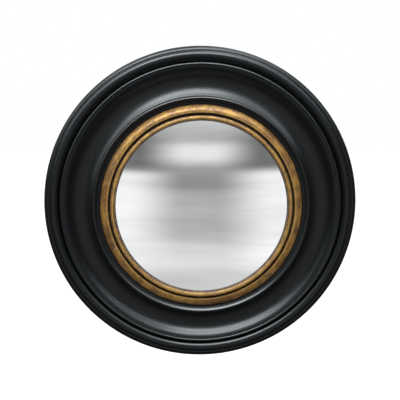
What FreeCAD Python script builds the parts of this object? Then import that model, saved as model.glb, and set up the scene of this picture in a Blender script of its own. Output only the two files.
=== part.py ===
"""Round convex mirror in a turned black frame with a gilded slip.

Millimetres.  The wall is the plane Y = 0 and the mirror faces -Y; +Z is up, +X is to the
right of someone who faces the mirror, and the axis of every turned piece is Y.
Turned sections are drawn as (radius, depth), where depth runs forward from the flat back
of the frame.  The four wall pads stand behind that back, so depth 0 is at Y = -pad_thickness.
"""
import FreeCAD, Part
import math
import os

# ---- the visible face -------------------------------------------------------------------
sight_radius = 105.3          # clear radius of the mirror inside the gilded bead
lip_depth = 41.0              # rear face of the slip's lip, where the glass stops
lip_thickness = 2.4           # lip at the sight edge

# gilded slip: an inner bead, a groove and a broad outer ovolo
bead_radius = 3.0
groove_depth = 35.8
groove_width = 1.3
ovolo_rise = 3.0              # from the groove up to the crest of the ovolo
ovolo_run = 3.1
nosing_radius = 2.6           # rounds the ovolo off towards the groove
nosing_turn = 50.0            # degrees
ovolo_radius = 8.4
slip_skirt_wall = 5.0
slip_web = 2.8                # left between the groove and the retaining ring's seat
slip_flange_width = 8.8
slip_flange_thickness = 5.0
slip_headroom = 2.4           # between the board's seat and the back of the slip

# black frame, from the opening outwards
opening_gap = 0.4             # between the slip and the frame
hollow_radius = 9.0           # hollow splay between the opening and the ridge
hollow_first_slope = 10.0     # degrees, at the opening
hollow_last_slope = 50.0      # where it runs into the ridge
ridge_radius = 2.2
ridge_crest_depth = 34.6
ridge_wall_width = 1.0
cove_quirk = 0.7
cove_quirk_rise = 0.3
cove_inner_radius = 22.0
cove_inner_slope = 40.0       # degrees, where the cove meets the ridge
cove_outer_radius = 23.5
cove_outer_slope = 38.0       # steepest part of the outer side
shoulder_radius = 16.0
shoulder_slope = 9.0
trough_depth = 11.2           # thinnest part of the moulding
fillet_radius = 1.8
fillet_slope = 30.0           # where the shoulder runs into the fillet bead
quirk_width = 1.3
quirk_depth = 4.6
quirk_wall = 3.6              # depth of its steep side, under the fillet bead
quirk_root = 0.8              # its deepest line, from the fillet bead
torus_radius = 7.3
torus_crest_depth = 19.2
torus_undercut = 12.0         # degrees of the torus that turn down into the quirk
rim_radius = 5.7
rim_step = 1.3
back_chamfer_width = 8.0
back_chamfer_depth = 9.0

# ---- the back ---------------------------------------------------------------------------
button_recess_width = 19.0    # wide shallow recess that hides the turn buttons
button_recess_depth = 4.0
board_thickness = 3.0
board_gap = 0.4
board_seat_width = 7.6
board_below_washer = 0.1      # the board stands this much below the washers' top
pad_thickness = 2.5
pad_radius = 6.0
pad_chamfer = 0.5
pad_count = 4
pad_first_angle = 45.0
pad_inset = 14.5              # from the outer edge of the flat back

# ---- glass and what holds it ------------------------------------------------------------
glass_thickness = 3.0
glass_overlap = 3.0           # glass hidden behind the lip
glass_gap = 0.5
glass_sag = 14.0              # rise of the dome over its own radius
gasket_thickness = 0.5
retainer_thickness = 4.5
retainer_gap = 0.4
retainer_lap = 0.8            # its bore stands this far inside the sight edge
retainer_screw_count = 6
retainer_screw_inset = 3.6    # from the outer edge of the retaining ring
retainer_screw_length = 8.0
retainer_screw_radius = 1.25
slip_screw_count = 6
slip_screw_first_angle = 30.0
slip_screw_radius = 1.75
slip_screw_length = 14.0
slip_screw_inset = 4.4        # from the outer edge of the flange

# ---- screws -----------------------------------------------------------------------------
screw_fit = 0.05              # shank to its hole
head_ratio = 2.0              # countersunk head over shank
pan_edge_ratio = 0.7          # rounding of a pan head over its height
cross_span_ratio = 0.6        # cross slot over the head's radius
cross_arm_ratio = 0.22        # half width of an arm over that span
cross_sink_ratio = 0.5        # depth of the slot over the head's height

# ---- turn buttons -----------------------------------------------------------------------
button_count = 6
button_thickness = 1.4
button_pivot_end = 5.0
button_nose_end = 4.0
button_reach = 15.0
button_play = 0.05
button_hole_fit = 0.08
button_rib_height = 0.7
button_rib_width = 1.2
button_rib_length = 4.8
button_rib_offset = 1.2       # past the centre of the nose
button_inset = 9.5            # pivot, in from the recess's outer wall
button_screw_radius = 2.0
button_screw_length = 7.6
pan_head_radius = 3.6
pan_head_height = 1.3
washer_thickness = 0.5
washer_radius = 4.6

# ---- hanger -----------------------------------------------------------------------------
strap_width = 12.0
strap_sheet = 0.8
strap_length = 17.0           # from its lower end to the axis of the ring
strap_fold_length = 5.0       # where the two layers close below the ring
strap_screw_offsets = (3.4, 9.2)
hanger_screw_radius = 1.5
hanger_screw_length = 5.8
hanger_head_radius = 2.6
hanger_head_height = 1.3
ring_wire = 1.2
ring_fit = 0.08
ring_half_width = 10.0
ring_corner = 3.0
ring_straight = 4.0
pocket_land = 7.6             # flat left between the pocket and the outer chamfer
pocket_margin = 2.8           # round the ring
pocket_end = 1.5              # below the strap
pocket_depth = 5.6
pocket_corner = 3.0           # left by the router

# ---- drawing aids -----------------------------------------------------------------------
front = 90.0                  # angle in a turned section that points to the front
overshoot = 1.0               # how far a cutter runs past the face that it opens
tiny = 1e-6

# ---- radii and depths that follow, from the glass outwards --------------------------------
glass_radius = sight_radius + glass_overlap
glass_rebate_radius = glass_radius + glass_gap
bead_centre = sight_radius + bead_radius
groove_outer = bead_centre + bead_radius + groove_width
ovolo_centre = groove_outer + ovolo_run
slip_radius = ovolo_centre + ovolo_radius
skirt_radius = slip_radius - slip_skirt_wall
flange_radius = slip_radius + slip_flange_width
retainer_radius = skirt_radius - retainer_gap
retainer_bore = sight_radius - retainer_lap
retainer_shelf_depth = groove_depth - slip_web
retainer_back_depth = retainer_shelf_depth - retainer_thickness

opening_radius = slip_radius + opening_gap
well_radius = flange_radius + opening_gap
hollow_circle = opening_radius - hollow_radius * math.sin(math.radians(hollow_first_slope))
ridge_circle = hollow_circle + (hollow_radius + ridge_radius) * math.sin(
    math.radians(hollow_last_slope))
wall_radius = ridge_circle + ridge_radius + ridge_wall_width
cove_end_radius = wall_radius + cove_quirk
trough_circle = cove_end_radius + cove_inner_radius * math.sin(math.radians(cove_inner_slope))
steep_circle = trough_circle + cove_outer_radius * math.sin(math.radians(cove_outer_slope))
shoulder_circle = steep_circle + shoulder_radius * (
    math.sin(math.radians(cove_outer_slope)) - math.sin(math.radians(shoulder_slope)))
fillet_circle = shoulder_circle + fillet_radius * math.cos(math.radians(fillet_slope))
torus_circle = fillet_circle + fillet_radius + quirk_width + torus_radius
rim_circle = torus_circle + torus_radius - rim_step
outer_radius = rim_circle + rim_radius
flat_back_radius = outer_radius - back_chamfer_width

board_radius = well_radius + board_seat_width - board_gap
board_recess_radius = board_radius + board_gap
button_recess_radius = board_recess_radius + button_recess_width
button_circle = button_recess_radius - button_inset
board_back_depth = button_recess_depth - washer_thickness + board_below_washer
board_seat_depth = board_back_depth + board_thickness
slip_back_depth = board_seat_depth + slip_headroom
flange_front_depth = slip_back_depth + slip_flange_thickness
button_front_depth = button_recess_depth - washer_thickness - button_play
button_back_depth = button_front_depth - button_thickness
button_head_depth = button_back_depth - button_play      # underside of the screw's head

ring_loop = ring_wire + ring_fit + strap_sheet           # outside of the strap's curl
pocket_top = flat_back_radius - pocket_land
ring_height = pocket_top - pocket_margin - ring_wire - ring_half_width - ring_straight
ring_depth = pocket_depth - ring_loop
strap_bottom = ring_height - strap_length
strap_back_depth = pocket_depth - 2 * strap_sheet


def deg(angle):
    return math.radians(angle)


def point(radius, depth):
    """A point of a turned section, in the XY plane."""
    return FreeCAD.Vector(radius, -(depth + pad_thickness), 0)


def rear(x, z, depth):
    """A point on the back, by its place in the wall plane and its depth."""
    return FreeCAD.Vector(x, -(depth + pad_thickness), z)


class Section:
    """The outline of a turned piece: straight runs and true arcs."""

    def __init__(self, radius, depth):
        self.first = self.last = (radius, depth)
        self.edges = []

    def to(self, radius, depth):
        here = (radius, depth)
        if math.dist(here, self.last) > tiny:
            self.edges.append(Part.makeLine(point(*self.last), point(*here)))
            self.last = here
        return self

    def arc(self, centre, size, start, end):
        """An arc about a centre; 0 degrees points outwards and 90 to the front."""
        def at(angle):
            return (centre[0] + size * math.cos(deg(angle)),
                    centre[1] + size * math.sin(deg(angle)))
        self.to(*at(start))
        middle = at((start + end) / 2)
        self.edges.append(Part.Arc(point(*self.last), point(*middle), point(*at(end))).toShape())
        self.last = at(end)
        return self

    def turned(self):
        self.to(*self.first)
        face = Part.Face(Part.Wire(self.edges))
        return face.revolve(FreeCAD.Vector(), FreeCAD.Vector(0, 1, 0), 360)


def cylinder(x, z, front_depth, back_depth, radius):
    """A cylinder along Y between two depths."""
    return Part.makeCylinder(radius, front_depth - back_depth, rear(x, z, back_depth),
                             FreeCAD.Vector(0, -1, 0))


def block(x0, x1, z0, z1, back_depth, front_depth):
    corner = FreeCAD.Vector(x0, -(front_depth + pad_thickness), z0)
    return Part.makeBox(x1 - x0, front_depth - back_depth, z1 - z0, corner)


def ring_places(radius, count, first_angle=0.0):
    """Even places round a circle in the wall plane: (x, z, angle)."""
    places = []
    for k in range(count):
        angle = first_angle + 360.0 * k / count
        places.append((radius * math.cos(deg(angle)), radius * math.sin(deg(angle)), angle))
    return places


def cross_slot(x, z, depth, head, height):
    """The cutter for a cross slot in a screw head that faces the wall."""
    span = head * cross_span_ratio
    arm = span * cross_arm_ratio
    back, floor = depth - overshoot, depth + height * cross_sink_ratio
    wide = block(x - span, x + span, z - arm, z + arm, back, floor)
    tall = block(x - arm, x + arm, z - span, z + span, back, floor)
    return wide.fuse(tall)


def screw_hole(x, z, seat_depth, radius, length):
    """A blind hole for a shank that starts at seat_depth, open towards the wall."""
    return cylinder(x, z, seat_depth + length + screw_fit, seat_depth - overshoot,
                    radius + screw_fit)


def countersunk_screw(x, z, back_depth, radius, length):
    head = radius * head_ratio
    rise = head - radius
    shank = cylinder(x, z, back_depth + length, back_depth, radius)
    cone = Part.makeCone(head, radius, rise, rear(x, z, back_depth), FreeCAD.Vector(0, -1, 0))
    return shank.fuse(cone).cut(cross_slot(x, z, back_depth, head, rise))


def countersunk_hole(x, z, back_depth, radius, length):
    """Room for that screw, with its fit all round."""
    hole = radius + screw_fit
    head = radius * head_ratio + screw_fit
    cone = Part.makeCone(head, hole, head - hole, rear(x, z, back_depth),
                         FreeCAD.Vector(0, -1, 0))
    return screw_hole(x, z, back_depth, radius, length).fuse(cone)


def pan_screw(x, z, seat_depth, radius, length, head, height):
    """A round-headed screw whose head bears on seat_depth."""
    shank = cylinder(x, z, seat_depth + length, seat_depth, radius)
    cap = cylinder(x, z, seat_depth, seat_depth - height, head)
    rim = [e for e in cap.Edges if len(e.Vertexes) == 1
           and abs(e.CenterOfMass.y + seat_depth - height + pad_thickness) < tiny]
    cap = cap.makeFillet(height * pan_edge_ratio, rim)
    return shank.fuse(cap).cut(cross_slot(x, z, seat_depth - height, head, height))


# ---- black turned frame -----------------------------------------------------------------
def moulding():
    """The frame's section: back recesses first, then the outer edge and the front, inwards."""
    cove_end_depth = trough_depth + cove_inner_radius * (1 - math.cos(deg(cove_inner_slope)))
    steep_depth = trough_depth + cove_outer_radius * (1 - math.cos(deg(cove_outer_slope)))
    shoulder_depth = steep_depth + shoulder_radius * (math.cos(deg(shoulder_slope))
                                                      - math.cos(deg(cove_outer_slope)))
    fillet_depth = shoulder_depth - fillet_radius * math.sin(deg(fillet_slope))
    hollow_centre_depth = (ridge_crest_depth - ridge_radius
                           + (hollow_radius + ridge_radius) * math.cos(deg(hollow_last_slope)))
    torus_depth = torus_crest_depth - torus_radius
    rim_angle = math.degrees(math.acos((rim_circle - torus_circle) / torus_radius))
    rim_crest = torus_depth + torus_radius * math.sin(deg(rim_angle)) - rim_step

    section = Section(well_radius, board_seat_depth)
    section.to(board_recess_radius, board_seat_depth)
    section.to(board_recess_radius, button_recess_depth)
    section.to(button_recess_radius, button_recess_depth)
    section.to(button_recess_radius, 0)
    section.to(flat_back_radius, 0)
    section.to(outer_radius, back_chamfer_depth)
    section.arc((rim_circle, rim_crest - rim_radius), rim_radius, 0, front)
    section.arc((torus_circle, torus_depth), torus_radius, rim_angle, 180 - torus_undercut)
    section.to(fillet_circle + fillet_radius + quirk_root, fillet_depth - quirk_depth)
    section.to(fillet_circle + fillet_radius, fillet_depth - quirk_wall)
    section.arc((fillet_circle, fillet_depth), fillet_radius, 0, 180 - fillet_slope)
    section.arc((shoulder_circle + shoulder_radius * math.sin(deg(shoulder_slope)),
                 shoulder_depth - shoulder_radius * math.cos(deg(shoulder_slope))),
                shoulder_radius, front + shoulder_slope, front + cove_outer_slope)
    section.arc((trough_circle, trough_depth + cove_outer_radius), cove_outer_radius,
                -front + cove_outer_slope, -front)
    section.arc((trough_circle, trough_depth + cove_inner_radius), cove_inner_radius,
                -front, -front - cove_inner_slope)
    section.to(wall_radius, cove_end_depth + cove_quirk_rise)
    section.arc((ridge_circle, ridge_crest_depth - ridge_radius), ridge_radius, 0,
                front + hollow_last_slope)
    section.arc((hollow_circle, hollow_centre_depth), hollow_radius,
                -front + hollow_last_slope, -front + hollow_first_slope)
    section.to(opening_radius, flange_front_depth)
    section.to(well_radius, flange_front_depth)
    return section


def hanger_pocket():
    """The routed pocket that takes the ring and leaves room for a wall hook."""
    half = ring_half_width + ring_wire + pocket_margin
    pocket = block(-half, half, strap_bottom - pocket_end, pocket_top, -overshoot, pocket_depth)
    corners = [e for e in pocket.Edges if abs(e.tangentAt(e.FirstParameter).y) > 1 - tiny]
    return pocket.makeFillet(pocket_corner, corners)


def turned_frame():
    frame = moulding().turned().cut(hanger_pocket())
    for x, z, angle in slip_screw_places():
        frame = frame.cut(screw_hole(x, z, slip_back_depth, slip_screw_radius,
                                     slip_screw_length))
    for x, z, angle in button_places():
        frame = frame.cut(screw_hole(x, z, button_head_depth, button_screw_radius,
                                     button_screw_length))
    for z in hanger_screw_heights():
        frame = frame.cut(screw_hole(0, z, strap_back_depth, hanger_screw_radius,
                                     hanger_screw_length))
    return frame


# ---- gilded slip ------------------------------------------------------------------------
def slip_screw_places():
    return ring_places(flange_radius - slip_screw_inset, slip_screw_count,
                       slip_screw_first_angle)


def gilt_slip():
    crest = groove_depth + ovolo_rise
    section = Section(skirt_radius, slip_back_depth)
    section.to(flange_radius, slip_back_depth)
    section.to(flange_radius, flange_front_depth)
    section.to(slip_radius, flange_front_depth)
    section.arc((ovolo_centre, crest - ovolo_radius), ovolo_radius, 0, front)
    section.arc((ovolo_centre, crest - nosing_radius), nosing_radius, front,
                front + nosing_turn)
    section.to(groove_outer, groove_depth)
    section.to(groove_outer - groove_width, groove_depth)
    section.arc((bead_centre, lip_depth + lip_thickness), bead_radius, 0, 180)
    section.to(sight_radius, lip_depth)
    section.to(glass_rebate_radius, lip_depth)
    section.to(glass_rebate_radius, retainer_shelf_depth)
    section.to(skirt_radius, retainer_shelf_depth)
    slip = section.turned()
    for x, z, angle in slip_screw_places():
        slip = slip.cut(countersunk_hole(x, z, slip_back_depth, slip_screw_radius,
                                         slip_screw_length))
    for x, z, angle in retainer_screw_places():
        slip = slip.cut(screw_hole(x, z, retainer_back_depth, retainer_screw_radius,
                                   retainer_screw_length))
    return slip


def slip_screws():
    return Part.makeCompound([
        countersunk_screw(x, z, slip_back_depth, slip_screw_radius, slip_screw_length)
        for x, z, angle in slip_screw_places()])


# ---- convex glass, its gasket and its retaining ring --------------------------------------
def dome():
    """Radius of the dome's front and the depth of its centre."""
    sphere = (glass_radius ** 2 + glass_sag ** 2) / (2 * glass_sag)
    front_at_sight = lip_depth - gasket_thickness
    centre = front_at_sight - math.sqrt(sphere ** 2 - sight_radius ** 2)
    return sphere, centre


def dome_depth(radius, behind=0.0):
    sphere, centre = dome()
    return centre + math.sqrt((sphere - behind) ** 2 - radius ** 2)


def mirror_glass():
    sphere, centre = dome()
    blank = Part.makeSphere(sphere, point(0, centre))
    hollow = Part.makeSphere(sphere - glass_thickness, point(0, centre))
    plug = cylinder(0, 0, centre + sphere + overshoot, centre, glass_radius)
    return blank.cut(hollow).common(plug)


def glass_gasket():
    sphere, centre = dome()
    section = Section(sight_radius, lip_depth)
    section.to(glass_radius, lip_depth)
    section.to(glass_radius, dome_depth(glass_radius))
    start = math.degrees(math.acos(glass_radius / sphere))
    end = math.degrees(math.acos(sight_radius / sphere))
    section.arc((0, centre), sphere, start, end)
    return section.turned()


def retainer_screw_places():
    return ring_places(retainer_radius - retainer_screw_inset, retainer_screw_count)


def retaining_ring():
    """A stepped ring: its collar presses the rim of the glass forward."""
    collar = dome_depth(glass_radius, behind=glass_thickness)
    section = Section(retainer_bore, retainer_back_depth)
    section.to(retainer_radius, retainer_back_depth)
    section.to(retainer_radius, retainer_shelf_depth)
    section.to(glass_radius, retainer_shelf_depth)
    section.to(glass_radius, collar)
    section.to(retainer_bore, collar)
    ring = section.turned()
    for x, z, angle in retainer_screw_places():
        ring = ring.cut(countersunk_hole(x, z, retainer_back_depth, retainer_screw_radius,
                                         retainer_screw_length))
    return ring


def retaining_ring_screws():
    return Part.makeCompound([
        countersunk_screw(x, z, retainer_back_depth, retainer_screw_radius,
                          retainer_screw_length)
        for x, z, angle in retainer_screw_places()])


# ---- backboard and turn buttons -----------------------------------------------------------
def backboard():
    return cylinder(0, 0, board_seat_depth, board_back_depth, board_radius)


def button_places():
    return ring_places(button_circle, button_count)


def turn_button(x, z, angle):
    """A pear-shaped plate that turns on its screw, drawn pointing along +X, then turned in."""
    lean = math.asin((button_pivot_end - button_nose_end) / button_reach)
    tangent = math.pi / 2 - lean

    def edge_point(centre_x, size, sweep):
        return rear(centre_x + size * math.cos(sweep), size * math.sin(sweep),
                    button_back_depth)

    nose = [edge_point(button_reach, button_nose_end, sweep) for sweep in (-tangent, 0, tangent)]
    heel = [edge_point(0, button_pivot_end, sweep) for sweep in (tangent, math.pi, -tangent)]
    outline = Part.Wire([Part.Arc(*nose).toShape(), Part.makeLine(nose[2], heel[0]),
                         Part.Arc(*heel).toShape(), Part.makeLine(heel[2], nose[0])])
    plate = Part.Face(outline).extrude(FreeCAD.Vector(0, -button_thickness, 0))
    rib_start = button_reach + button_rib_offset
    plate = plate.fuse(block(rib_start, rib_start + button_rib_width,
                             -button_rib_length / 2, button_rib_length / 2,
                             button_back_depth - button_rib_height, button_back_depth))
    plate = plate.cut(cylinder(0, 0, button_front_depth + overshoot, button_back_depth - overshoot,
                               button_screw_radius + button_hole_fit))
    plate.rotate(FreeCAD.Vector(), FreeCAD.Vector(0, 1, 0), -(angle + 180.0))
    plate.translate(FreeCAD.Vector(x, 0, z))
    return plate


def turn_button_washers():
    washers = []
    for x, z, angle in button_places():
        disc = cylinder(x, z, button_recess_depth, button_recess_depth - washer_thickness,
                        washer_radius)
        washers.append(disc.cut(screw_hole(x, z, button_head_depth, button_screw_radius,
                                           button_screw_length)))
    return Part.makeCompound(washers)


def turn_button_screws():
    return Part.makeCompound([
        pan_screw(x, z, button_head_depth, button_screw_radius, button_screw_length,
                  pan_head_radius, pan_head_height)
        for x, z, angle in button_places()])


# ---- hanger -------------------------------------------------------------------------------
def hanger_screw_heights():
    return [strap_bottom + offset for offset in strap_screw_offsets]


def hanger_strap():
    """A steel strap folded round the bar of the ring, with two screw holes."""
    half = strap_width / 2
    along = FreeCAD.Vector(1, 0, 0)
    strap = block(-half, half, strap_bottom, ring_height, strap_back_depth, pocket_depth)
    curl = Part.makeCylinder(ring_loop, strap_width, rear(-half, ring_height, ring_depth), along)
    corners = [rear(-half, ring_height, ring_depth - ring_loop),
               rear(-half, ring_height - strap_fold_length, strap_back_depth),
               rear(-half, ring_height, strap_back_depth)]
    fold = Part.Face(Part.makePolygon(corners + corners[:1])).extrude(along * strap_width)
    eye = Part.makeCylinder(ring_wire + ring_fit, strap_width + 2 * overshoot,
                            rear(-half - overshoot, ring_height, ring_depth), along)
    strap = strap.fuse([curl, fold]).cut(eye)
    for z in hanger_screw_heights():
        strap = strap.cut(screw_hole(0, z, strap_back_depth, hanger_screw_radius,
                                     hanger_screw_length))
    return strap.removeSplitter()


def hanger_ring():
    """A D of round wire, its straight bar in the strap."""
    side, corner = ring_half_width, ring_corner
    low, high = ring_height, ring_height + ring_straight
    bend = corner * (1 - math.cos(math.pi / 4))

    def at(x, z):
        return rear(x, z, ring_depth)

    path = Part.Wire([
        Part.makeLine(at(0, low), at(side - corner, low)),
        Part.Arc(at(side - corner, low), at(side - bend, low + bend),
                 at(side, low + corner)).toShape(),
        Part.makeLine(at(side, low + corner), at(side, high)),
        Part.Arc(at(side, high), at(0, high + side), at(-side, high)).toShape(),
        Part.makeLine(at(-side, high), at(-side, low + corner)),
        Part.Arc(at(-side, low + corner), at(-side + bend, low + bend),
                 at(-side + corner, low)).toShape(),
        Part.makeLine(at(-side + corner, low), at(0, low))])
    wire = Part.Wire(Part.makeCircle(ring_wire, at(0, low), FreeCAD.Vector(1, 0, 0)))
    return Part.Solid(path.makePipeShell([wire], True, True))


def hanger_screws():
    return Part.makeCompound([
        pan_screw(0, z, strap_back_depth, hanger_screw_radius, hanger_screw_length,
                  hanger_head_radius, hanger_head_height)
        for z in hanger_screw_heights()])


# ---- wall pads ----------------------------------------------------------------------------
def wall_pad(x, z):
    pad = cylinder(x, z, 0, -pad_thickness, pad_radius)
    edge = [e for e in pad.Edges if len(e.Vertexes) == 1 and abs(e.CenterOfMass.y) < tiny]
    return pad.makeChamfer(pad_chamfer, edge)


def pad_places():
    return ring_places(flat_back_radius - pad_inset, pad_count, pad_first_angle)


def parts():
    made = {
        "turned_frame": turned_frame(),
        "gilt_slip": gilt_slip(),
        "slip_screws": slip_screws(),
        "glass_gasket": glass_gasket(),
        "mirror_glass": mirror_glass(),
        "retaining_ring": retaining_ring(),
        "retaining_ring_screws": retaining_ring_screws(),
        "backboard": backboard(),
        "turn_button_washers": turn_button_washers(),
        "turn_button_screws": turn_button_screws(),
        "hanger_strap": hanger_strap(),
        "hanger_screws": hanger_screws(),
        "hanger_ring": hanger_ring(),
    }
    for number, (x, z, angle) in enumerate(button_places(), 1):
        made["turn_button_%d" % number] = turn_button(x, z, angle)
    for number, (x, z, angle) in enumerate(pad_places(), 1):
        made["wall_pad_%d" % number] = wall_pad(x, z)
    return made


os.makedirs("parts", exist_ok=True)
for name, shape in parts().items():
    shape.exportStep("parts/%s.step" % name)
    box = shape.BoundBox
    print("%-22s solids %d valid %s  x %.1f..%.1f  y %.1f..%.1f  z %.1f..%.1f  %.0f mm3" % (
        name, len(shape.Solids), shape.isValid(), box.XMin, box.XMax, box.YMin, box.YMax,
        box.ZMin, box.ZMax, shape.Volume))
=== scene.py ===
"""Round convex mirror in a turned black frame with a gilded slip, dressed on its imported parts."""
import math
import bmesh
import bpy
from mathutils import Matrix, Vector, noise


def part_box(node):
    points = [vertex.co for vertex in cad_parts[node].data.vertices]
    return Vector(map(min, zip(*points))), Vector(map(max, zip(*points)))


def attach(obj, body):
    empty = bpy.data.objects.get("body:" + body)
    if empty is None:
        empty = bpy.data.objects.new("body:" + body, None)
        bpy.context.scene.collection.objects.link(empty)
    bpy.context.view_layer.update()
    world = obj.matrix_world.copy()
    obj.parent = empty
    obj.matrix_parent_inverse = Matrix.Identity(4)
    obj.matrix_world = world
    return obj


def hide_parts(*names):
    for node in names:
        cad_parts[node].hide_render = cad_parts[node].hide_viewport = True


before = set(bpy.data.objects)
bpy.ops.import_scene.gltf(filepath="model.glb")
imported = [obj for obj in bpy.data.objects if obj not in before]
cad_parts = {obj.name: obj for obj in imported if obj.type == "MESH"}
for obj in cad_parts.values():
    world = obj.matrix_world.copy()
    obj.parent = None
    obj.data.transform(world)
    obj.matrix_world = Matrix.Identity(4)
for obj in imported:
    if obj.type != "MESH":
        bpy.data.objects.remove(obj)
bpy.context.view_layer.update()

# ---- turned frame -------------------------------------------------------------------------
# One ring of close-grained wood, turned on a lathe: a raised ridge round the opening, a wide
# cove, then a fillet bead, a torus and a rounded rim.  It is sprayed with satin black lacquer
# and only brushed with thin black on its back, where recesses take the board and the hanger.
mm = 0.001
lathe_steps = 384
frame_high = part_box("turned_frame")[1]
flat_back_y = frame_high.y
frame_edge = frame_high.x / mm

opening_radius = 124.5
hollow_radius, hollow_first_slope, hollow_last_slope = 15.7, 10.0, 33.0
ridge_radius, ridge_crest_depth, ridge_wall_width = 2.2, 34.6, 1.0
cove_quirk, cove_quirk_rise = 0.7, 0.3
cove_inner_radius, cove_inner_slope = 27.2, 31.3
cove_outer_radius, cove_outer_slope = 23.5, 38.0
shoulder_radius, shoulder_slope = 16.0, 9.0
trough_depth = 11.2
fillet_radius, fillet_slope = 1.8, 30.0
quirk_width, quirk_depth, quirk_wall, quirk_root = 1.3, 3.4, 2.6, 0.8
torus_radius, torus_crest_depth, torus_undercut = 7.3, 19.2, 12.0
rim_radius, rim_step = 5.7, 1.3
flange_seat_depth = 14.0
well_radius = 133.3
board_recess_radius = 140.9
board_seat_depth = 6.6
button_recess_radius = 159.9
button_recess_depth = 4.0
flat_back_radius = frame_edge - 8.0
back_edge_depth = 9.0
softened_edge = 0.35
pocket_corner, pocket_depth = 3.0, 5.6
pocket_clearance_above, pocket_clearance_below = 2.8, 1.5
ridge_lip, fillet_lip = 131.5, 173.0     # crests that handling has rubbed brighter


def arc(centre, size, start, end, steps):
    """Points of an arc in (radius, depth); 0 degrees points outwards and 90 to the front."""
    points = []
    for step in range(steps + 1):
        angle = math.radians(start + (end - start) * step / steps)
        points.append((centre[0] + size * math.cos(angle), centre[1] + size * math.sin(angle)))
    return points


def sine(degrees):
    return math.sin(math.radians(degrees))


def cosine(degrees):
    return math.cos(math.radians(degrees))


def moulding():
    """The frame's section, from the well behind the slip, over the back, the rim and the front."""
    hollow_circle = opening_radius - hollow_radius * sine(hollow_first_slope)
    ridge = (hollow_circle + (hollow_radius + ridge_radius) * sine(hollow_last_slope),
             ridge_crest_depth - ridge_radius)
    hollow = (hollow_circle,
              ridge[1] + (hollow_radius + ridge_radius) * cosine(hollow_last_slope))
    wall = ridge[0] + ridge_radius + ridge_wall_width
    trough = wall + cove_quirk + cove_inner_radius * sine(cove_inner_slope)
    cove_end_depth = trough_depth + cove_inner_radius * (1 - cosine(cove_inner_slope))
    steep = trough + cove_outer_radius * sine(cove_outer_slope)
    steep_depth = trough_depth + cove_outer_radius * (1 - cosine(cove_outer_slope))
    shoulder = (steep + shoulder_radius * sine(cove_outer_slope),
                steep_depth - shoulder_radius * cosine(cove_outer_slope))
    fillet = (shoulder[0] - shoulder_radius * sine(shoulder_slope)
              + fillet_radius * cosine(fillet_slope),
              shoulder[1] + shoulder_radius * cosine(shoulder_slope)
              - fillet_radius * sine(fillet_slope))
    opening_depth = hollow[1] - hollow_radius * cosine(hollow_first_slope)
    torus = (fillet[0] + fillet_radius + quirk_width + torus_radius,
             torus_crest_depth - torus_radius)
    rim_turn = torus_radius - rim_step
    rim_angle = math.degrees(math.acos(rim_turn / torus_radius))
    rim = (torus[0] + rim_turn,
           torus[1] + torus_radius * sine(rim_angle) - rim_step - rim_radius)
    points = [(well_radius, board_seat_depth),
              (board_recess_radius, board_seat_depth),
              (board_recess_radius, button_recess_depth + softened_edge),
              (board_recess_radius + softened_edge, button_recess_depth),
              (button_recess_radius, button_recess_depth),
              (button_recess_radius, softened_edge),
              (button_recess_radius + softened_edge, 0),
              (flat_back_radius - softened_edge, 0),
              (flat_back_radius + softened_edge * 0.6, softened_edge * 0.7),
              (frame_edge - softened_edge * 0.6, back_edge_depth - softened_edge)]
    points += arc(rim, rim_radius, 0, 90, 14)
    points += arc(torus, torus_radius, rim_angle, 180 - torus_undercut, 28)
    points += [(fillet[0] + fillet_radius + quirk_root, fillet[1] - quirk_depth),
               (fillet[0] + fillet_radius, fillet[1] - quirk_wall)]
    points += arc(fillet, fillet_radius, 0, 180 - fillet_slope, 12)
    points += arc(shoulder, shoulder_radius, 90 + shoulder_slope, 90 + cove_outer_slope, 10)
    points += arc((trough, trough_depth + cove_outer_radius), cove_outer_radius,
                  cove_outer_slope - 90, -90, 16)[1:]
    points += arc((trough, trough_depth + cove_inner_radius), cove_inner_radius,
                  -90, -90 - cove_inner_slope, 24)[1:]
    points += [(wall, cove_end_depth + cove_quirk_rise)]
    points += arc(ridge, ridge_radius, 0, 90 + hollow_last_slope, 18)
    points += arc(hollow, hollow_radius, hollow_last_slope - 90, hollow_first_slope - 90, 16)[1:-1]
    points += [(opening_radius + softened_edge, opening_depth + softened_edge * 0.2),
               (opening_radius, opening_depth - softened_edge),
               (opening_radius, flange_seat_depth),
               (well_radius, flange_seat_depth)]
    return points


def turn(name, section, steps=lathe_steps):
    """Turns a closed section of (radius, depth) points about the mirror's axis."""
    mesh = bpy.data.meshes.new(name)
    shape = bmesh.new()
    rings = []
    for radius, depth in section:
        ring = []
        for step in range(steps):
            angle = 2 * math.pi * step / steps
            ring.append(shape.verts.new((radius * mm * math.cos(angle), flat_back_y - depth * mm,
                                         radius * mm * math.sin(angle))))
        rings.append(ring)
    for ring, following in zip(rings, rings[1:] + rings[:1]):
        for step in range(steps):
            other = (step + 1) % steps
            shape.faces.new((ring[step], ring[other], following[other], following[step]))
    bmesh.ops.recalc_face_normals(shape, faces=shape.faces)
    shape.to_mesh(mesh)
    shape.free()
    piece = bpy.data.objects.new(name, mesh)
    bpy.context.scene.collection.objects.link(piece)
    return piece


def soften(piece, degrees=28.0):
    """Smooth shading that stays crisp at edges sharper than the given angle."""
    for face in piece.data.polygons:
        face.use_smooth = True
    piece.data.set_sharp_from_angle(angle=math.radians(degrees))


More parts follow.
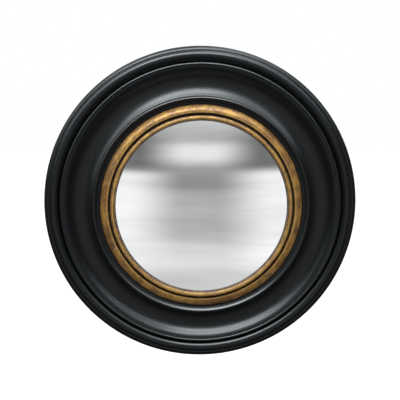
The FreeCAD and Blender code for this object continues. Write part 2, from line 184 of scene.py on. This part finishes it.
def routed_pocket(low_z, top_z, half_width, corner, depth):
    """The cutter for the hanger's pocket: a block with the round corners that a router leaves."""
    outline = []
    for centre_x, centre_z, start in ((half_width - corner, top_z - corner, 0),
                                      (corner - half_width, top_z - corner, 90),
                                      (corner - half_width, low_z + corner, 180),
                                      (half_width - corner, low_z + corner, 270)):
        outline += arc((centre_x, centre_z), corner, start, start + 90, 8)
    shape = bmesh.new()
    behind = [shape.verts.new((x * mm, flat_back_y + mm, z * mm)) for x, z in outline]
    floor = [shape.verts.new((x * mm, flat_back_y - depth * mm, z * mm)) for x, z in outline]
    shape.faces.new(behind)
    shape.faces.new(floor[::-1])
    for step in range(len(outline)):
        other = (step + 1) % len(outline)
        shape.faces.new((behind[other], behind[step], floor[step], floor[other]))
    bmesh.ops.recalc_face_normals(shape, faces=shape.faces)
    mesh = bpy.data.meshes.new("pocket_cutter")
    shape.to_mesh(mesh)
    shape.free()
    cutter = bpy.data.objects.new("pocket_cutter", mesh)
    bpy.context.scene.collection.objects.link(cutter)
    return cutter


def cut_away(piece, cutter):
    """Takes the cutter's shape out of the piece for good."""
    saw = piece.modifiers.new("cut", "BOOLEAN")
    saw.operation = "DIFFERENCE"
    saw.solver = "EXACT"
    saw.object = cutter
    seen = bpy.context.evaluated_depsgraph_get()
    seen.update()
    result = bpy.data.meshes.new_from_object(piece.evaluated_get(seen))
    piece.modifiers.clear()
    old = piece.data
    piece.data = result
    bpy.data.meshes.remove(old)
    bpy.data.objects.remove(cutter)


def node(tree, kind, **settings):
    """Adds a shader node and sets its named properties."""
    made = tree.nodes.new("ShaderNode" + kind)
    for key, value in settings.items():
        setattr(made, key, value)
    return made


def feed(tree, target, **sources):
    """Sets or links a node's inputs by name; underscores stand for spaces."""
    for key, source in sources.items():
        socket = target.inputs[key.replace("_", " ")]
        if isinstance(source, bpy.types.NodeSocket):
            tree.links.new(source, socket)
        else:
            socket.default_value = source
    return target


def sum_of(tree, kind, first, second):
    """One step of arithmetic on two values or sockets."""
    step = node(tree, "Math", operation=kind)
    for socket, source in zip(step.inputs, (first, second)):
        if isinstance(source, bpy.types.NodeSocket):
            tree.links.new(source, socket)
        else:
            socket.default_value = source
    return step.outputs[0]


def between(tree, value, low, high, out_low=0.0, out_high=1.0):
    """A smooth step of a value from low to high."""
    step = node(tree, "MapRange", interpolation_type="SMOOTHSTEP")
    tree.links.new(value, step.inputs["Value"])
    step.inputs["From Min"].default_value = low
    step.inputs["From Max"].default_value = high
    step.inputs["To Min"].default_value = out_low
    step.inputs["To Max"].default_value = out_high
    return step.outputs[0]


def near(tree, value, places):
    """1 where a value is close to one of the places; each has an outer and an inner reach."""
    nearest = None
    for place, outer, inner in places:
        off = sum_of(tree, "ABSOLUTE", sum_of(tree, "SUBTRACT", value, place), 0.0)
        close = between(tree, off, outer, inner)
        nearest = close if nearest is None else sum_of(tree, "MAXIMUM", nearest, close)
    return nearest


def mix(tree, share, first, second):
    """Blends two colours or colour sockets by a share from 0 to 1."""
    blend = node(tree, "Mix", data_type="RGBA")
    for socket, source in ((blend.inputs[0], share), (blend.inputs[6], first),
                           (blend.inputs[7], second)):
        if isinstance(source, bpy.types.NodeSocket):
            tree.links.new(source, socket)
        else:
            socket.default_value = (*source, 1.0) if isinstance(source, tuple) else source
    return blend.outputs[2]


def grain(tree, where, scale, detail=3.0, roughness=0.55):
    """Soft noise at so many lumps to the metre."""
    lumps = node(tree, "TexNoise")
    feed(tree, lumps, Vector=where, Scale=scale, Detail=detail, Roughness=roughness)
    return lumps.outputs["Fac"]


def relief(tree, height, depth, strength=1.0):
    """A bump of the given depth in metres."""
    bump = node(tree, "Bump")
    feed(tree, bump, Height=height, Distance=depth, Strength=strength)
    return bump.outputs["Normal"]


def new_finish(name, **constants):
    """A material whose shader holds the given constants; returns it, its tree and its shader."""
    finish = bpy.data.materials.new(name)
    finish.use_nodes = True
    tree = finish.node_tree
    shader = tree.nodes["Principled BSDF"]
    feed(tree, shader, **constants)
    return finish, tree, shader


def round_the_axis(tree):
    """Where a point lies on a turned piece: its place, radius, angle and depth, in metres."""
    place = node(tree, "TexCoord").outputs["Object"]
    parts = node(tree, "SeparateXYZ")
    tree.links.new(place, parts.inputs[0])
    x, y, z = parts.outputs
    squares = sum_of(tree, "ADD", sum_of(tree, "MULTIPLY", x, x), sum_of(tree, "MULTIPLY", z, z))
    radius = sum_of(tree, "SQRT", squares, 0.0)
    angle = sum_of(tree, "ARCTAN2", z, x)
    return place, radius, angle, y


def along_the_turning(tree, radius, angle, y, stretch):
    """Coordinates that run round the piece, so that marks on it are drawn out by a factor."""
    lane = node(tree, "CombineXYZ")
    feed(tree, lane, X=radius, Y=sum_of(tree, "MULTIPLY", angle, 0.15 / stretch), Z=y)
    return lane.outputs[0]


def black_lacquer():
    """Satin black lacquer, rubbed brighter on two crests; the brushed back shows its grain."""
    finish, tree, shader = new_finish("satin_black_lacquer", IOR=1.5)
    place, radius, angle, y = round_the_axis(tree)
    turned = along_the_turning(tree, radius, angle, y, 12.0)
    facing = node(tree, "SeparateXYZ")
    tree.links.new(node(tree, "NewGeometry").outputs["Normal"], facing.inputs[0])
    backside = between(tree, facing.outputs["Y"], 0.35, 0.8)

    cloudy = grain(tree, place, 22.0)
    lacquer = mix(tree, cloudy, (0.0024, 0.0028, 0.0035), (0.0038, 0.0042, 0.0047))
    plank = node(tree, "Mapping")
    feed(tree, plank, Vector=place, Scale=(9.0, 120.0, 160.0))
    figure = grain(tree, plank.outputs[0], 1.6, 5.0, 0.62)
    brushed = mix(tree, between(tree, figure, 0.38, 0.72), (0.016, 0.0145, 0.013),
                  (0.052, 0.040, 0.030))
    feed(tree, shader, Base_Color=mix(tree, backside, lacquer, brushed))

    sheen = grain(tree, turned, 160.0, 4.0)
    satin = between(tree, sheen, 0.25, 0.75, 0.25, 0.30)
    rough = sum_of(tree, "ADD", satin, sum_of(tree, "MULTIPLY", backside, 0.34))
    feed(tree, shader, Roughness=rough)

    handled = near(tree, radius, ((ridge_lip * mm, 3.4 * mm, 1.7 * mm),
                                  (fillet_lip * mm, 2.8 * mm, 1.4 * mm)))
    handled = sum_of(tree, "MULTIPLY", handled, sum_of(tree, "SUBTRACT", 1.0, backside))
    feed(tree, shader, Specular_IOR_Level=between(tree, handled, 0.0, 1.0, 0.5, 0.72))

    orange_peel = grain(tree, place, 1400.0, 2.0)
    lathe_marks = grain(tree, turned, 900.0, 2.0)
    skin = sum_of(tree, "ADD", orange_peel, sum_of(tree, "MULTIPLY", lathe_marks, 0.5))
    open_grain = sum_of(tree, "MULTIPLY", sum_of(tree, "MULTIPLY", figure, backside), 9.0)
    feed(tree, shader, Normal=relief(tree, sum_of(tree, "ADD", skin, open_grain), 0.00001))
    return finish


frame_ring = turn("turned_frame_finished", moulding())
pocket_low, pocket_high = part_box("hanger_strap")[0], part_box("hanger_ring")[1]
cut_away(frame_ring, routed_pocket(pocket_low.z / mm - pocket_clearance_below,
                                   pocket_high.z / mm + pocket_clearance_above,
                                   pocket_high.x / mm + pocket_clearance_above,
                                   pocket_corner, pocket_depth))
soften(frame_ring)
frame_ring.data.materials.append(black_lacquer())
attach(frame_ring, "mirror")
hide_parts("turned_frame")

# ---- gilded slip --------------------------------------------------------------------------
# A separate ring of wood and gesso inside the frame: a bead next to the glass, a groove, and a
# broad ovolo with a tight nosing.  It is gilded, rubbed bright on its crests, where a painted
# highlight lightens the gold, and toned with brown glaze, which stays in the groove and in pits.
# Painted shade darkens the groove, the joint with the frame and the edge at the glass.  Behind
# are its flange and glass rebate.
sight_radius = 105.3
bead_radius = 3.0
groove_depth, groove_width = 35.8, 1.3
ovolo_rise, ovolo_run = 4.2, 2.4
nosing_radius, nosing_turn = 1.4, 68.0
slip_radius = opening_radius - 0.4
flange_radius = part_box("gilt_slip")[1].x / mm
skirt_radius = slip_radius - 5.0
slip_back_depth = 9.0
lip_depth, lip_thickness = 41.0, 0.8
glass_rebate_radius, glass_seat_depth = 108.8, 33.0
hand_laid = 0.04                 # how far the gesso wanders from true, in mm
ovolo_crest = slip_radius - 9.3  # where the ovolo is rubbed brightest and carries a painted highlight
slip_steps = 512


def slip_section():
    """The slip's section, from its skirt over the flange to the front and back to the glass."""
    groove = sight_radius + 2 * bead_radius
    ovolo = groove + groove_width + ovolo_run
    ovolo_radius = slip_radius - ovolo
    crest = groove_depth + ovolo_rise
    points = [(skirt_radius, slip_back_depth), (flange_radius, slip_back_depth),
              (flange_radius, flange_seat_depth), (slip_radius, flange_seat_depth)]
    points += arc((ovolo, crest - ovolo_radius), ovolo_radius, 0, 90, 30)
    points += arc((ovolo, crest - nosing_radius), nosing_radius, 90, 90 + nosing_turn, 10)[1:]
    points += [(groove + groove_width, groove_depth), (groove, groove_depth)]
    points += arc((sight_radius + bead_radius, lip_depth + lip_thickness), bead_radius, 0, 180, 30)
    points += [(sight_radius, lip_depth), (glass_rebate_radius, lip_depth),
               (glass_rebate_radius, glass_seat_depth), (skirt_radius, glass_seat_depth)]
    return points


def lay_gesso(piece):
    """Moves the front of the slip a little, as gesso laid and rubbed down by hand does."""
    for vertex in piece.data.vertices:
        depth = (flat_back_y - vertex.co.y) / mm
        if depth > 24.0 and math.hypot(vertex.co.x, vertex.co.z) > (sight_radius + 0.4) * mm:
            wander = noise.noise(vertex.co * 90.0) + 0.5 * noise.noise(vertex.co * 320.0)
            away = Vector((vertex.co.x, 0, vertex.co.z)).normalized() + Vector((0, -1, 0))
            vertex.co += away.normalized() * wander * hand_laid * mm


def antique_gilding():
    """Gold laid over gesso, worn and glazed: bright where rubbed and painted as a highlight, brown
    with glaze and painted shade.
    """
    finish, tree, shader = new_finish("antique_gilding", Metallic=0.5, Coat_Weight=0.15,
                                       Coat_Roughness=0.28)
    place, radius, angle, y = round_the_axis(tree)
    drawn = along_the_turning(tree, radius, angle, y, 2.4)

    gold = mix(tree, between(tree, grain(tree, place, 60.0, 3.0), 0.35, 0.65),
               (0.195, 0.090, 0.021), (0.350, 0.186, 0.040))
    bronze = between(tree, grain(tree, drawn, 150.0, 6.0, 0.72), 0.47, 0.60)
    gold = mix(tree, sum_of(tree, "MULTIPLY", bronze, 0.8), gold, (0.120, 0.060, 0.030))
    scuffs = between(tree, grain(tree, drawn, 460.0, 5.0, 0.72), 0.57, 0.65)
    gold = mix(tree, sum_of(tree, "MULTIPLY", scuffs, 0.85), gold, (0.048, 0.026, 0.018))

    millimetres = sum_of(tree, "MULTIPLY", radius, 1000.0)
    ragged = sum_of(tree, "MULTIPLY",
                    sum_of(tree, "SUBTRACT", grain(tree, drawn, 300.0), 0.5), 1.4)
    wandering = sum_of(tree, "ADD", millimetres, ragged)
    groove = sight_radius + 2 * bead_radius + groove_width / 2
    # Painted shade: the gold turns dark brown in the groove and at the joint with the frame, where
    # it is brown glaze and painted shade together, and more faintly along the glass, where it is
    # painted shade only.
    in_groove = near(tree, wandering, ((groove, 1.8, 1.0),))
    at_frame = between(tree, wandering, slip_radius - 1.3, slip_radius - 0.1)
    at_glass = between(tree, wandering, sight_radius + 1.0, sight_radius + 0.2)
    glaze_and_painted_shade = sum_of(tree, "MAXIMUM", in_groove, sum_of(tree, "MAXIMUM", at_frame,
                  sum_of(tree, "MULTIPLY", at_glass, 0.7)))

    pits = node(tree, "TexVoronoi")
    feed(tree, pits, Vector=place, Scale=150.0)
    pit = sum_of(tree, "MULTIPLY", between(tree, pits.outputs["Distance"], 0.15, 0.07),
                 between(tree, grain(tree, place, 55.0), 0.54, 0.62))
    dark = sum_of(tree, "MAXIMUM", glaze_and_painted_shade, pit)
    # Painted highlight: the crests of the bead and the ovolo get a lighter gold, which also stands
    # for their rubbed wear.
    crests = near(tree, wandering, ((sight_radius + bead_radius, 1.1, 0.3),
                                    (ovolo_crest, 1.1, 0.3)))
    gold = mix(tree, sum_of(tree, "MULTIPLY", crests, 0.6), gold, (0.480, 0.285, 0.090))
    feed(tree, shader, Base_Color=mix(tree, dark, gold, (0.030, 0.016, 0.009)))

    worn = between(tree, grain(tree, drawn, 260.0, 4.0), 0.3, 0.7, 0.34, 0.46)
    feed(tree, shader, Roughness=sum_of(tree, "ADD", worn, sum_of(tree, "MULTIPLY", dark, 0.3)))
    lumps = sum_of(tree, "SUBTRACT", grain(tree, drawn, 700.0, 4.0),
                   sum_of(tree, "MULTIPLY", dark, 1.5))
    feed(tree, shader, Normal=relief(tree, lumps, 0.000025, 0.8))
    return finish


slip_ring = turn("gilt_slip_finished", slip_section(), slip_steps)
lay_gesso(slip_ring)
soften(slip_ring)
slip_ring.data.materials.append(antique_gilding())
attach(slip_ring, "mirror")
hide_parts("gilt_slip")


# ---- screws -------------------------------------------------------------------------------
# Small steel wood screws, cross-slotted and zinc-plated: countersunk ones draw the slip and its
# retaining ring home, and round-headed ones carry the turn buttons and the hanger.
def dressed(name, finish, bevel=0.0):
    """Gives a CAD node its finish and, where asked, slightly broken edges."""
    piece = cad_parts[name]
    if not piece.data.materials:
        piece.data.materials.append(finish)
    for place in range(len(piece.data.materials)):
        piece.data.materials[place] = finish
    if bevel:
        edge = piece.modifiers.new("broken_edges", "BEVEL")
        edge.width = bevel * mm
        edge.segments = 2
        edge.limit_method = "ANGLE"
        edge.angle_limit = math.radians(40)
        edge.harden_normals = False
    return piece


def zinc_plate():
    """Bright zinc with a faint warm passivation, dulled and a little stained."""
    finish, tree, shader = new_finish("zinc_plated_steel", Metallic=1.0)
    place = node(tree, "TexCoord").outputs["Object"]
    stain = between(tree, grain(tree, place, 240.0, 4.0), 0.45, 0.75)
    feed(tree, shader, Base_Color=mix(tree, stain, (0.60, 0.59, 0.55), (0.40, 0.37, 0.30)))
    feed(tree, shader, Roughness=between(tree, grain(tree, place, 900.0), 0.3, 0.7, 0.28, 0.46))
    feed(tree, shader, Normal=relief(tree, grain(tree, place, 2600.0), 0.00002))
    return finish


screw_finish = zinc_plate()
for screws in ("slip_screws", "retaining_ring_screws", "turn_button_screws", "hanger_screws"):
    dressed(screws, screw_finish)


# ---- gasket -------------------------------------------------------------------------------
# A thin ring of black felt, laid in the slip's rebate between the gilded lip and the rim of the
# glass.  It takes up the dome's small errors, so that neither the lip nor the glass chips.
def black_felt():
    finish, tree, shader = new_finish("black_felt", Sheen_Weight=0.4, Sheen_Roughness=0.6)
    place = node(tree, "TexCoord").outputs["Object"]
    fibres = grain(tree, place, 2200.0, 5.0, 0.7)
    feed(tree, shader, Base_Color=mix(tree, fibres, (0.010, 0.010, 0.011), (0.035, 0.034, 0.034)))
    feed(tree, shader, Roughness=between(tree, fibres, 0.0, 1.0, 0.85, 1.0))
    feed(tree, shader, Normal=relief(tree, fibres, 0.0002))
    return finish


dressed("glass_gasket", black_felt())

# ---- convex glass -------------------------------------------------------------------------
# Three-millimetre float glass, sagged over a mould to a shallow dome and silvered behind, with
# grey backing paint over the silver.  Only its bright front shows inside the gilded bead.
glass_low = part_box("mirror_glass")[0]
glass_radius = 108.3
glass_thickness = 3.0
dome_rise = 14.0
dome_steps = 48
dome_radius = (glass_radius ** 2 + dome_rise ** 2) / (2 * dome_rise)
dome_centre_depth = (flat_back_y - glass_low.y) / mm - dome_radius


def glass_section():
    """The dome's section from the middle of its front, over the edge, to the middle behind."""
    front, rear = [], []
    inner = dome_radius - glass_thickness
    for step in range(dome_steps + 1):
        radius = max(glass_radius * step / dome_steps, 0.01)
        front.append((radius, dome_centre_depth + math.sqrt(dome_radius ** 2 - radius ** 2)))
        rear.append((radius, dome_centre_depth + math.sqrt(inner ** 2 - radius ** 2)))
    front[-1] = (glass_radius, front[-1][1] - 0.1)
    front.insert(-1, (glass_radius - 0.15, front[-2][1] - 0.1))
    return front + rear[::-1]


def silvered_glass():
    """Silver seen through clear glass: very bright, a touch cool, with a faint ripple."""
    finish, tree, shader = new_finish("silvered_glass", Metallic=1.0, Roughness=0.0)
    place = node(tree, "TexCoord").outputs["Object"]
    haze = grain(tree, place, 30.0)
    feed(tree, shader, Base_Color=mix(tree, haze, (0.925, 0.935, 0.940), (0.945, 0.950, 0.955)))
    feed(tree, shader, Normal=relief(tree, grain(tree, place, 26.0, 1.0), 0.00004))
    return finish


def backing_paint():
    """Grey protective paint on the silver, brushed on and slightly streaked."""
    finish, tree, shader = new_finish("grey_backing_paint")
    place = node(tree, "TexCoord").outputs["Object"]
    streak = node(tree, "Mapping")
    feed(tree, streak, Vector=place, Scale=(14.0, 60.0, 220.0))
    lines = grain(tree, streak.outputs[0], 2.0, 4.0)
    feed(tree, shader, Base_Color=mix(tree, lines, (0.16, 0.17, 0.18), (0.25, 0.26, 0.27)))
    feed(tree, shader, Roughness=between(tree, lines, 0.2, 0.8, 0.5, 0.7))
    feed(tree, shader, Normal=relief(tree, lines, 0.00004))
    return finish


dome = turn("convex_glass", glass_section(), 256)
soften(dome)
dome.data.materials.append(silvered_glass())
dome.data.materials.append(backing_paint())
for face in dome.data.polygons:
    face.material_index = 1 if face.normal.y > 0.3 else 0
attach(dome, "mirror")
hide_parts("mirror_glass")


# ---- retaining ring -----------------------------------------------------------------------
# A stepped ring of brown fibreboard, cut from sheet and screwed to the back of the slip.  Its
# collar reaches into the rebate and holds the glass forward against the felt.
def fibreboard():
    finish, tree, shader = new_finish("fibreboard")
    place = node(tree, "TexCoord").outputs["Object"]
    fibres = grain(tree, place, 1300.0, 6.0, 0.75)
    flecks = between(tree, grain(tree, place, 420.0, 3.0), 0.55, 0.72)
    board = mix(tree, fibres, (0.23, 0.145, 0.080), (0.38, 0.26, 0.155))
    feed(tree, shader, Base_Color=mix(tree, flecks, board, (0.16, 0.095, 0.050)))
    feed(tree, shader, Roughness=between(tree, fibres, 0.2, 0.8, 0.78, 0.92))
    feed(tree, shader, Normal=relief(tree, fibres, 0.00012))
    return finish


dressed("retaining_ring", fibreboard(), 0.3)


# ---- backboard ----------------------------------------------------------------------------
# A disc of 3 mm hardboard that lies in the frame's rear recess and keeps dust off the silver.
# Its rough side is out, with the mesh mark of the press screen.
def hardboard():
    finish, tree, shader = new_finish("hardboard")
    place = node(tree, "TexCoord").outputs["Object"]
    facing = node(tree, "SeparateXYZ")
    tree.links.new(place, facing.inputs[0])
    screen = None
    for axis in ("X", "Z"):
        wave = sum_of(tree, "SINE", sum_of(tree, "MULTIPLY", facing.outputs[axis], 5200.0), 0.0)
        screen = wave if screen is None else sum_of(tree, "MULTIPLY", screen, wave)
    fibres = grain(tree, place, 1100.0, 6.0, 0.75)
    blotches = between(tree, grain(tree, place, 26.0, 4.0), 0.35, 0.7)
    board = mix(tree, fibres, (0.120, 0.062, 0.030), (0.235, 0.130, 0.066))
    board = mix(tree, sum_of(tree, "MULTIPLY", blotches, 0.45), board, (0.090, 0.046, 0.022))
    feed(tree, shader, Base_Color=board)
    feed(tree, shader, Roughness=between(tree, fibres, 0.2, 0.8, 0.62, 0.82))
    height = sum_of(tree, "ADD", fibres, sum_of(tree, "MULTIPLY", screen, 0.35))
    feed(tree, shader, Normal=relief(tree, height, 0.00014))
    return finish


dressed("backboard", hardboard(), 0.4)


# ---- turn buttons -------------------------------------------------------------------------
# Six pressed brass buttons, each on a washer of red vulcanised fibre and a round-headed screw;
# turned aside they free the board.  Handling has rubbed their edges and left them tarnished.
def pressed_brass():
    finish, tree, shader = new_finish("pressed_brass", Metallic=1.0)
    place = node(tree, "TexCoord").outputs["Object"]
    tarnish = between(tree, grain(tree, place, 130.0, 5.0), 0.42, 0.68)
    brass = mix(tree, tarnish, (0.62, 0.43, 0.17), (0.33, 0.21, 0.085))
    spots = between(tree, grain(tree, place, 620.0, 3.0), 0.66, 0.74)
    feed(tree, shader, Base_Color=mix(tree, spots, brass, (0.12, 0.070, 0.030)))
    feed(tree, shader, Roughness=between(tree, tarnish, 0.0, 1.0, 0.26, 0.46))
    lines = node(tree, "Mapping")
    feed(tree, lines, Vector=place, Scale=(400.0, 400.0, 3000.0))
    feed(tree, shader, Normal=relief(tree, grain(tree, lines.outputs[0], 1.0), 0.000015))
    return finish


def vulcanised_fibre():
    finish, tree, shader = new_finish("vulcanised_fibre")
    place = node(tree, "TexCoord").outputs["Object"]
    mottle = grain(tree, place, 700.0, 4.0)
    feed(tree, shader, Base_Color=mix(tree, mottle, (0.17, 0.025, 0.016), (0.27, 0.050, 0.030)))
    feed(tree, shader, Roughness=between(tree, mottle, 0.3, 0.7, 0.5, 0.68))
    feed(tree, shader, Normal=relief(tree, mottle, 0.00004))
    return finish


dressed("turn_button_washers", vulcanised_fibre(), 0.1)
brass_finish = pressed_brass()
for number in range(1, 7):
    dressed("turn_button_%d" % number, brass_finish, 0.25)


# ---- hanger -------------------------------------------------------------------------------
# A D-ring of round wire in a folded steel strap, both nickel-plated.  They lie in the routed
# pocket, so that the frame hangs flat, and the ring swings out for the hook.
def nickel_plate():
    finish, tree, shader = new_finish("nickel_plated_steel", Metallic=1.0)
    place = node(tree, "TexCoord").outputs["Object"]
    dull = between(tree, grain(tree, place, 210.0, 4.0), 0.4, 0.7)
    feed(tree, shader, Base_Color=mix(tree, dull, (0.66, 0.63, 0.57), (0.48, 0.45, 0.40)))
    feed(tree, shader, Roughness=between(tree, dull, 0.0, 1.0, 0.20, 0.36))
    feed(tree, shader, Normal=relief(tree, grain(tree, place, 1800.0), 0.00002))
    return finish


nickel_finish = nickel_plate()
dressed("hanger_strap", nickel_finish, 0.15)
dressed("hanger_ring", nickel_finish)


# ---- wall pads ----------------------------------------------------------------------------
# Four round pads of black rubber, stuck to the flat back.  They keep the frame off the wall and
# stop it from swinging, and their skin has a grey bloom.
def pad_rubber():
    finish, tree, shader = new_finish("pad_rubber")
    place = node(tree, "TexCoord").outputs["Object"]
    bloom = grain(tree, place, 160.0, 4.0)
    feed(tree, shader, Base_Color=mix(tree, bloom, (0.020, 0.020, 0.021), (0.050, 0.049, 0.048)))
    feed(tree, shader, Roughness=between(tree, bloom, 0.3, 0.7, 0.6, 0.8))
    feed(tree, shader, Normal=relief(tree, grain(tree, place, 3000.0), 0.00003))
    return finish


rubber_finish = pad_rubber()
for number in range(1, 5):
    dressed("wall_pad_%d" % number, rubber_finish)

# ---- floor --------------------------------------------------------------------------------
# The mirror hangs well above a pale floor, with nothing behind it.
floor_drop = 1.3
floor_size = 40.0
floor_mesh = bpy.data.meshes.new("floor")
half_floor = floor_size / 2
floor_mesh.from_pydata([(x, y, -floor_drop) for x, y in ((-half_floor, -half_floor),
                                                         (half_floor, -half_floor),
                                                         (half_floor, half_floor),
                                                         (-half_floor, half_floor))],
                       [], [(0, 1, 2, 3)])
floor = bpy.data.objects.new("floor", floor_mesh)
bpy.context.scene.collection.objects.link(floor)
floor.visible_glossy = False


def pale_floor():
    """Plain pale paint that the camera sees as white, darker only under the object."""
    finish, tree, shader = new_finish("pale_floor", Roughness=0.9)
    feed(tree, shader, Base_Color=(0.85, 0.85, 0.85, 1.0))
    lift = node(tree, "Emission")
    lift.inputs["Strength"].default_value = 0.8
    seen = node(tree, "LightPath").outputs["Is Camera Ray"]
    shown = node(tree, "MixShader")
    both = node(tree, "AddShader")
    tree.links.new(shader.outputs[0], both.inputs[0])
    tree.links.new(lift.outputs[0], both.inputs[1])
    tree.links.new(seen, shown.inputs[0])
    tree.links.new(shader.outputs[0], shown.inputs[1])
    tree.links.new(both.outputs[0], shown.inputs[2])
    tree.links.new(shown.outputs[0], tree.nodes["Material Output"].inputs["Surface"])
    return finish


floor_mesh.materials.append(pale_floor())

# ---- room light ---------------------------------------------------------------------------
# White to the camera.  The silvered glass sees soft level bands of a pale room.  Every other
# surface sees a dim one, a little lighter in front and behind, so that the lamps draw the
# lacquer's highlights.
room = bpy.data.worlds.new("room")
bpy.context.scene.world = room
room.use_nodes = True
room_tree = room.node_tree
toward = node(room_tree, "SeparateXYZ")
room_tree.links.new(node(room_tree, "TexCoord").outputs["Generated"], toward.inputs[0])
side, ahead, height = toward.outputs
level = between(room_tree, height, -0.70, 0.50)
level.node.interpolation_type = "LINEAR"
bands = node(room_tree, "ValToRGB")
bands.color_ramp.interpolation = "B_SPLINE"
room_bands = ((0.00, 0.62), (0.10, 0.62), (0.22, 0.84), (0.32, 0.42), (0.41, 0.50),
              (0.54, 0.45), (0.60, 0.25), (0.70, 0.34), (0.755, 0.86), (0.815, 0.90),
              (0.855, 0.28), (1.00, 0.78))
while len(bands.color_ramp.elements) < len(room_bands):
    bands.color_ramp.elements.new(0.5)
for stop, (place, tone) in zip(bands.color_ramp.elements, room_bands):
    stop.position = place
    stop.color = (tone, tone, tone, 1.0)
room_tree.links.new(level, bands.inputs[0])
sideways = sum_of(room_tree, "ABSOLUTE", sum_of(room_tree, "SUBTRACT", side, 0.02), 0.0)
beside = between(room_tree, sideways, 0.10, 0.50)
under_lintel = between(room_tree, height, 0.145, 0.07)
over_sill = between(room_tree, height, -0.62, -0.48)
windows = sum_of(room_tree, "MULTIPLY", beside, sum_of(room_tree, "MULTIPLY", under_lintel,
                                                       over_sill))
gloom = sum_of(room_tree, "MULTIPLY", between(room_tree, sideways, 0.08, 0.42),
               sum_of(room_tree, "MULTIPLY", between(room_tree, height, 0.09, 0.16),
                      between(room_tree, height, 0.42, 0.30)))
streaks = node(room_tree, "CombineXYZ")
feed(room_tree, streaks, X=sum_of(room_tree, "MULTIPLY", side, 1.3), Y=0.0,
     Z=sum_of(room_tree, "MULTIPLY", height, 11.0))
blur = between(room_tree, grain(room_tree, streaks.outputs[0], 1.0, 2.0), 0.2, 0.8, 0.90, 1.10)
pale = mix(room_tree, windows, bands.outputs[0], (0.93, 0.93, 0.94))
pale = mix(room_tree, gloom, pale, (0.17, 0.17, 0.17))
room_seen = node(room_tree, "Background")
room_tree.links.new(pale, room_seen.inputs["Color"])
room_tree.links.new(blur, room_seen.inputs["Strength"])
room_fill = node(room_tree, "Background")
feed(room_tree, room_fill, Color=(0.96, 0.98, 1.0, 1.0), Strength=0.50)
in_front = between(room_tree, ahead, -0.70, -0.99, 0.05, 0.34)
room_dim = node(room_tree, "Background")
feed(room_tree, room_dim, Color=(0.93, 0.97, 1.0, 1.0),
     Strength=sum_of(room_tree, "ADD", in_front, between(room_tree, ahead, 0.15, 0.80, 0.0, 0.6)))
white = node(room_tree, "Background")
feed(room_tree, white, Color=(1.0, 1.0, 1.0, 1.0), Strength=1.0)
path = node(room_tree, "LightPath")
chosen = room_dim.outputs[0]
for ray, background in (("Is Diffuse Ray", room_fill), ("Is Singular Ray", room_seen),
                        ("Is Camera Ray", white)):
    choice = node(room_tree, "MixShader")
    room_tree.links.new(path.outputs[ray], choice.inputs[0])
    room_tree.links.new(chosen, choice.inputs[1])
    room_tree.links.new(background.outputs[0], choice.inputs[2])
    chosen = choice.outputs[0]
room_tree.links.new(chosen, room_tree.nodes["World Output"].inputs["Surface"])


# ---- lamps --------------------------------------------------------------------------------
# Broad, slightly cool soft boxes: the key and a long one high in front, others overhead, beside
# and behind.
lamp_distance = 2.0


def soft_box(name, azimuth, elevation, width, height, watts):
    """An area lamp that looks at the mirror's middle; azimuth 0 is straight in front."""
    lamp = bpy.data.lights.new(name, "AREA")
    lamp.shape = "RECTANGLE"
    lamp.size = width
    lamp.size_y = height
    lamp.energy = watts
    lamp.color = (0.90, 0.975, 1.0)
    holder = bpy.data.objects.new(name, lamp)
    bpy.context.scene.collection.objects.link(holder)
    across, up = math.radians(azimuth), math.radians(elevation)
    outward = Vector((math.sin(across) * math.cos(up), -math.cos(across) * math.cos(up),
                      math.sin(up)))
    level_axis = Vector((math.cos(across), math.sin(across), 0))
    holder.matrix_world = (Matrix.Translation(outward * lamp_distance)
                           @ Matrix((level_axis, outward.cross(level_axis), outward))
                           .transposed().to_4x4())


soft_box("key_lamp", -8, 46, 1.3, 0.85, 29)
soft_box("upper_left_lamp", -32, 42, 0.85, 0.78, 5)
soft_box("long_lamp", -5, 48, 5.7, 0.92, 50)
soft_box("overhead_lamp", 0, 84, 3.4, 1.9, 14)
soft_box("upper_right_lamp", 50, 68, 1.1, 1.1, 12)
soft_box("left_lamp", -95, 40, 1.9, 1.5, 5)
soft_box("lower_left_lamp", -60, 18, 0.85, 0.92, 2.5)
soft_box("back_lamp", 180, 60, 3.4, 1.5, 13)
soft_box("low_back_lamp", 160, 22, 2.4, 1.2, 16)

# ---- camera -------------------------------------------------------------------------------
# In front and slightly above, at the distance that gives the photograph's ellipses.
aim = Vector((-1.2 * mm, -17.5 * mm, 5.3 * mm))
camera_azimuth, camera_elevation = math.radians(-1.9), math.radians(7.3)
camera_distance = 1.05
image_width = 400
mirror_width = 313.4
outward = Vector((math.sin(camera_azimuth) * math.cos(camera_elevation),
                  -math.cos(camera_azimuth) * math.cos(camera_elevation),
                  math.sin(camera_elevation)))
lens = bpy.data.cameras.new("camera")
camera = bpy.data.objects.new("camera", lens)
bpy.context.scene.collection.objects.link(camera)
camera.location = aim + outward * camera_distance
camera.rotation_mode = "QUATERNION"
camera.rotation_quaternion = (-outward).to_track_quat("-Z", "Y")
lens.sensor_width = 36.0
lens.lens = (lens.sensor_width * camera_distance * mirror_width
             / (2 * frame_edge * mm * image_width))
bpy.context.scene.camera = camera
bpy.context.scene.view_settings.view_transform = "Standard"
